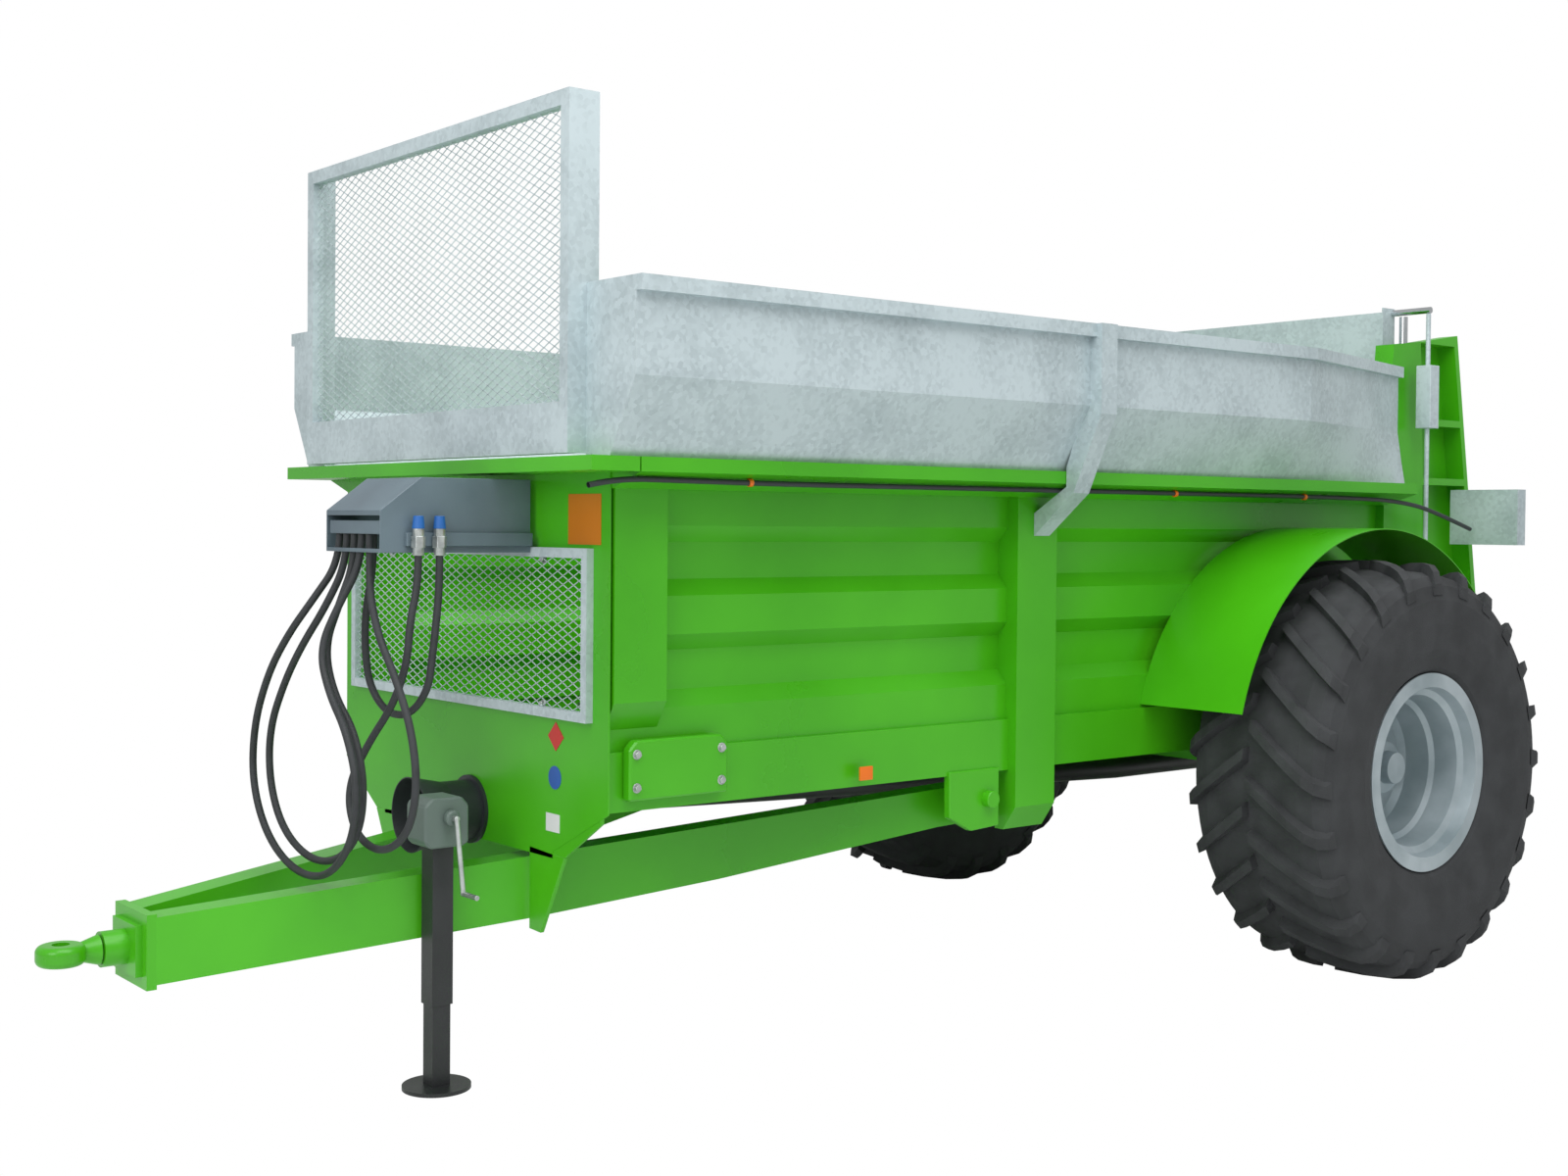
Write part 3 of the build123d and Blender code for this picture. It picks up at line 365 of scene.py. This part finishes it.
box(mesh, (3.36, 0.46, 1.66), (3.79, 0.475, 1.70))
piece("holder_hood", mesh, "anthracite", replaces=("hose_holder",))
for name, x, y in (("coupler_rear", 3.690, 0.488), ("coupler_front", 3.761, 0.490)):
    mesh = bmesh.new()
    rod(mesh, (x, y, 1.632), (x, y, 1.715), 0.017)
    rod(mesh, (x, y, 1.655), (x, y, 1.690), 0.022, 6)
    piece(name, mesh, "zinc")
    mesh = bmesh.new()
    rod(mesh, (x, y, 1.712), (x, y, 1.750), 0.019, tip=0.015)
    piece(name + "_cap", mesh, "blue_cap")

# ---------------------------------------------------------------- tyres
# A farm tyre with a rounded carcass and 24 bars a side, which meet in chevrons that point up at the front.
LUGS = 24
CARCASS = [(0.378, 0.245), (0.400, 0.268), (0.470, 0.290), (0.570, 0.300), (0.660, 0.297), (0.715, 0.283),
           (0.748, 0.255), (0.762, 0.200), (0.768, 0.100), (0.769, 0.0)]
LUG_LINE = [(0.006, 0.806, 0.755), (0.090, 0.805, 0.755), (0.180, 0.801, 0.750), (0.240, 0.792, 0.735),
            (0.276, 0.768, 0.715), (0.296, 0.722, 0.680)]          # across, top radius, foot radius
LUG_SLOPE = 0.95           # radians of turn per metre across
LUG_FOOT, LUG_TOP = 0.032, 0.021          # half widths along the tread
RING_STEPS = 96


def lug(side):
    """One bar, from the middle of the tread over the shoulder, about the wheel's own centre."""
    mesh = bmesh.new()
    rows = []
    for across, top, foot in LUG_LINE:
        row = []
        for radius, half in ((foot, -LUG_FOOT), (top, -LUG_TOP), (top, LUG_TOP), (foot, LUG_FOOT)):
            angle = -LUG_SLOPE * across + half / radius
            row.append(mesh.verts.new((radius * cos(angle), side * across, radius * sin(angle))))
        rows.append(row)
    for one, two in zip(rows, rows[1:]):
        for i in range(4):
            mesh.faces.new((one[i], one[(i + 1) % 4], two[(i + 1) % 4], two[i]))
    mesh.faces.new(rows[0])
    mesh.faces.new(rows[-1][::-1])
    return mesh


for side_name, hand in (("left", 1), ("right", -1)):
    centre = Vector((0, hand * AXLE.y, AXLE.z))
    mesh = bmesh.new()
    profile = CARCASS + [(radius, -across) for radius, across in CARCASS[-2::-1]]
    rings = [[mesh.verts.new((radius * cos(2 * pi * i / RING_STEPS), across, radius * sin(2 * pi * i / RING_STEPS)))
              for radius, across in profile] for i in range(RING_STEPS)]
    for i in range(RING_STEPS):
        one, two = rings[i], rings[(i + 1) % RING_STEPS]
        for j in range(len(profile)):
            k = (j + 1) % len(profile)
            mesh.faces.new((one[j], one[k], two[k], two[j]))
    for half_side, lead in ((1, 0.0), (-1, 0.5)):
        spots = [((0, 0, 0), (0, -2 * pi * (i + lead) / LUGS, 0)) for i in range(LUGS)]
        mesh.from_mesh(copies(lug(half_side), spots, "tyre"))
    bmesh.ops.translate(mesh, verts=mesh.verts, vec=centre)
    piece("tread_" + side_name, mesh, "tyre", "wheel_" + side_name, ("tyre_" + side_name,), bevel=0)

# ---------------------------------------------------------------- wheel hubs
# A domed cap on a stepped hub with eight green studs and nuts round it.
STUDS, STUD_CIRCLE = 8, 0.1375
HUB_FACE = AXLE.y - 0.030
CAP_FACE = AXLE.y + 0.078
for side_name, hand in (("left", 1), ("right", -1)):
    def at(x, y, z):
        """A place on this wheel, from its axis."""
        return (x, hand * y, AXLE.z + z)
    mesh = bmesh.new()
    rod(mesh, at(0, CAP_FACE - 0.004, 0), at(0, CAP_FACE + 0.006, 0), 0.064, 36, tip=0.056)
    rod(mesh, at(0, CAP_FACE + 0.004, 0), at(0, CAP_FACE + 0.012, 0), 0.052, 36, tip=0.036)
    piece("hub_cap_" + side_name, mesh, "rim_silver", "wheel_" + side_name)
    mesh = bmesh.new()
    for i in range(STUDS):
        x, z = STUD_CIRCLE * cos(2 * pi * i / STUDS), STUD_CIRCLE * sin(2 * pi * i / STUDS)
        rod(mesh, at(x, HUB_FACE - 0.01, z), at(x, HUB_FACE + 0.018, z), 0.018, 6)
        rod(mesh, at(x, HUB_FACE + 0.010, z), at(x, HUB_FACE + 0.034, z), 0.010, 12)
    piece("wheel_nuts_" + side_name, mesh, "green_paint", "wheel_" + side_name, bevel=0.001)

# ---------------------------------------------------------------- expanded mesh
# Slit and stretched sheet in the guard and the grille: flat diagonal strands that touch at their peaks.
DIAMOND, STRAND_STEP, STRAND_WIDTH, STRAND_DEPTH = 0.060, 0.0135, 0.0030, 0.0018
for node in ("guard_mesh", "grille_mesh"):
    low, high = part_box(node)
    width, middle = high.y - low.y, (high.y + low.y) / 2
    links_across = 2 * round(width / DIAMOND)
    strand = bmesh.new()
    rows = []
    for i in range(links_across + 1):
        y = -width / 2 + i * width / links_across
        z = STRAND_STEP / 2 * (1 if i % 2 else -1)
        rows.append([strand.verts.new((x, y, z + rise)) for x, rise in (
            (-STRAND_DEPTH / 2, -STRAND_WIDTH / 2), (STRAND_DEPTH / 2, -STRAND_WIDTH / 2),
            (STRAND_DEPTH / 2, STRAND_WIDTH / 2), (-STRAND_DEPTH / 2, STRAND_WIDTH / 2))])
    for one, two in zip(rows, rows[1:]):
        for i in range(4):
            strand.faces.new((one[i], one[(i + 1) % 4], two[(i + 1) % 4], two[i]))
    strand.faces.new(rows[0])
    strand.faces.new(rows[-1][::-1])
    count = int((high.z - low.z) / STRAND_STEP)
    first = (high.z + low.z - (count - 1) * STRAND_STEP) / 2
    spots = [(((low.x + high.x) / 2 - AXLE_X, middle, first + i * STRAND_STEP), (0, pi * (i % 2), 0))
             for i in range(count)]
    mesh = bmesh.new()
    mesh.from_mesh(copies(strand, spots, "galvanised"))
    piece("expanded_" + node, mesh, "galvanised", replaces=(node,), bevel=0)

# ---------------------------------------------------------------- jack
# A chamfered gear housing round the top of the jack's tube, with its crank boss, and the bent crank that hangs
# from it.
mesh = bmesh.new()
HEAD_OUTLINE = [(3.555, 0.755), (3.575, 0.745), (3.685, 0.745), (3.705, 0.765), (3.705, 0.875), (3.680, 0.897),
                (3.580, 0.897), (3.555, 0.870)]
prism(mesh, HEAD_OUTLINE, 1, 0.314, 0.434)
rod(mesh, (3.622, 0.434, 0.837), (3.622, 0.462, 0.837), 0.024, 24)
piece("jack_gear_head", mesh, "jack_grey", replaces=("jack_head",), bevel=0.006)
mesh = bmesh.new()
rod(mesh, (3.622, 0.455, 0.837), (3.622, 0.482, 0.837), 0.009)
rod(mesh, (3.622, 0.476, 0.843), (3.597, 0.476, 0.604), 0.008)
rod(mesh, (3.597, 0.470, 0.608), (3.597, 0.560, 0.608), 0.008)
piece("jack_crank", mesh, "zinc", bevel=0.001)

# ---------------------------------------------------------------- front wall details
# On each side: a skirt corner and a pointed bracket under the wall, a folded cover over the lower rail's notch,
# and the plate and pin that the drawbar turns on.
for side_name, hand in (("left", 1), ("right", -1)):
    mesh = bmesh.new()
    prism(mesh, [(hand * y, z) for y, z in ((0.83, 0.93), (0.83, 0.839), (0.626, 0.710), (0.43, 0.712),
                                            (0.43, 0.93))], 0, WALL_X - 0.012, WALL_X - 0.001)
    prism(mesh, [(hand * y, z) for y, z in ((0.424, 0.720), (0.626, 0.710), (0.491, 0.457), (0.424, 0.460))], 0,
          WALL_X - 0.014, WALL_X)
    piece("skirt_" + side_name, mesh, "green_paint")
    mesh = bmesh.new()
    prism(mesh, [(2.90, 0.906), (3.265, 0.906), (3.265, 1.060), (3.240, 1.086), (2.925, 1.086), (2.90, 1.060)], 1,
          hand * 0.835, hand * 0.875)
    piece("rail_cover_" + side_name, mesh, "green_paint", bevel=0.006)
    mesh = bmesh.new()
    prism(mesh, [(1.676, 0.68), (1.811, 0.672), (1.916, 0.726), (1.918, 0.884), (1.676, 0.884)], 1, hand * 0.815,
          hand * 0.845)
    rod(mesh, (1.731, hand * 0.80, 0.778), (1.731, hand * 0.875, 0.778), 0.030, 24)
    piece("drawbar_pivot_" + side_name, mesh, "green_paint", bevel=0.003)

# ---------------------------------------------------------------- bolts
# Hexagon bolts on the wall, the covers and the hitch plate, one repeated shape turned to each face.
FRONT, LEFT, RIGHT = (0, 0, 0), (0, 0, pi / 2), (0, 0, -pi / 2)
spots = [((WALL_X, y, z), FRONT) for y in (-0.50, 0.50) for z in (1.17, 1.62)]
for hand, turn in ((1, LEFT), (-1, RIGHT)):
    spots += [((x, hand * 0.875, z), turn) for x in (2.925, 3.24) for z in (0.945, 1.045)]
spots += [((4.42, y, z), FRONT) for y in (-0.085, 0.085) for z in (0.41, 0.55)]
bolt = bmesh.new()
rod(bolt, (-0.002, 0, 0), (0.003, 0, 0), 0.015, 20)
rod(bolt, (0.003, 0, 0), (0.012, 0, 0), 0.011, 6)
mesh = bmesh.new()
mesh.from_mesh(copies(bolt, spots, "zinc"))
piece("bolts", mesh, "zinc", bevel=0.0006)

# ---------------------------------------------------------------- conduit
# The lighting conduit under the top rim on the left, one fixed pipe with three orange clips, and the level gauge:
# an upright rod at the rear that passes through a box.
CONDUIT_Y, CONDUIT_WIDTH = 0.985, 0.018
CONDUIT = [(3.489, 1.841), (3.390, 1.862), (3.183, 1.861), (2.775, 1.857), (2.108, 1.859), (0.9, 1.860), (-0.3, 1.860),
           (-0.577, 1.848), (-0.801, 1.818), (-1.113, 1.736)]
line = bpy.data.curves.new("conduit_line", "CURVE")
line.dimensions = "3D"
line.bevel_depth = CONDUIT_WIDTH / 2
line.bevel_resolution = 3
spline = line.splines.new("NURBS")
spline.points.add(len(CONDUIT) - 1)
for point, (x, z) in zip(spline.points, CONDUIT):
    point.co = (x, CONDUIT_Y, z, 1)
spline.order_u = 3
spline.use_endpoint_u = True
guide = bpy.data.objects.new("conduit_line", line)
scene.collection.objects.link(guide)
pipe = bpy.data.meshes.new_from_object(guide.evaluated_get(bpy.context.evaluated_depsgraph_get()))
bpy.data.objects.remove(guide)
mesh = bmesh.new()
mesh.from_mesh(pipe)
piece("conduit", mesh, "black_plastic", bevel=0, smooth=True)
mesh = bmesh.new()
for x in (2.9, 0.9, 0.1):
    rod(mesh, (x, CONDUIT_Y, 1.859), (x + 0.014, CONDUIT_Y, 1.859), 0.0125, 16)
piece("conduit_clips", mesh, "orange", bevel=0.001)
mesh = bmesh.new()
rod(mesh, (-0.834, 0.94, 1.0), (-0.834, 0.94, 2.665), 0.010, 16)
box(mesh, (-0.868, 0.905, 2.17), (-0.800, 0.975, 2.44))
piece("level_gauge", mesh, "galvanised", bevel=0.002)

# ---------------------------------------------------------------- labels
# Stickers and plates are left blank: a bare coloured face with nothing written or drawn on it. The side reflector
# follows them.
SKIN = 0.0015


def label(name, paint, outline):
    """A thin blank sticker on the front wall."""
    mesh = bmesh.new()
    prism(mesh, outline, 0, WALL_X, WALL_X + SKIN)
    piece(name, mesh, paint, bevel=0)


def disc(y, z, radius, sides=32, turn=0.0):
    """A regular outline on the front wall, round unless it has few sides."""
    return [(y + radius * cos(turn + 2 * pi * i / sides), z + radius * sin(turn + 2 * pi * i / sides))
            for i in range(sides)]


label("sticker_disc", "label_blue", disc(0.571, 0.95, 0.036))
label("sticker_diamond", "label_red", disc(0.576, 1.077, 0.045, 4))
label("sticker_wide", "label_orange", [(0.640, 1.668), (0.820, 1.668), (0.820, 1.820), (0.640, 1.820)])
label("plate_small", "label_white", [(0.522, 0.782), (0.600, 0.782), (0.600, 0.838), (0.522, 0.838)])
mesh = bmesh.new()
box(mesh, (2.300, 0.868, 0.895), (2.355, 0.878, 0.940))
piece("side_reflector", mesh, "orange", bevel=0.002)
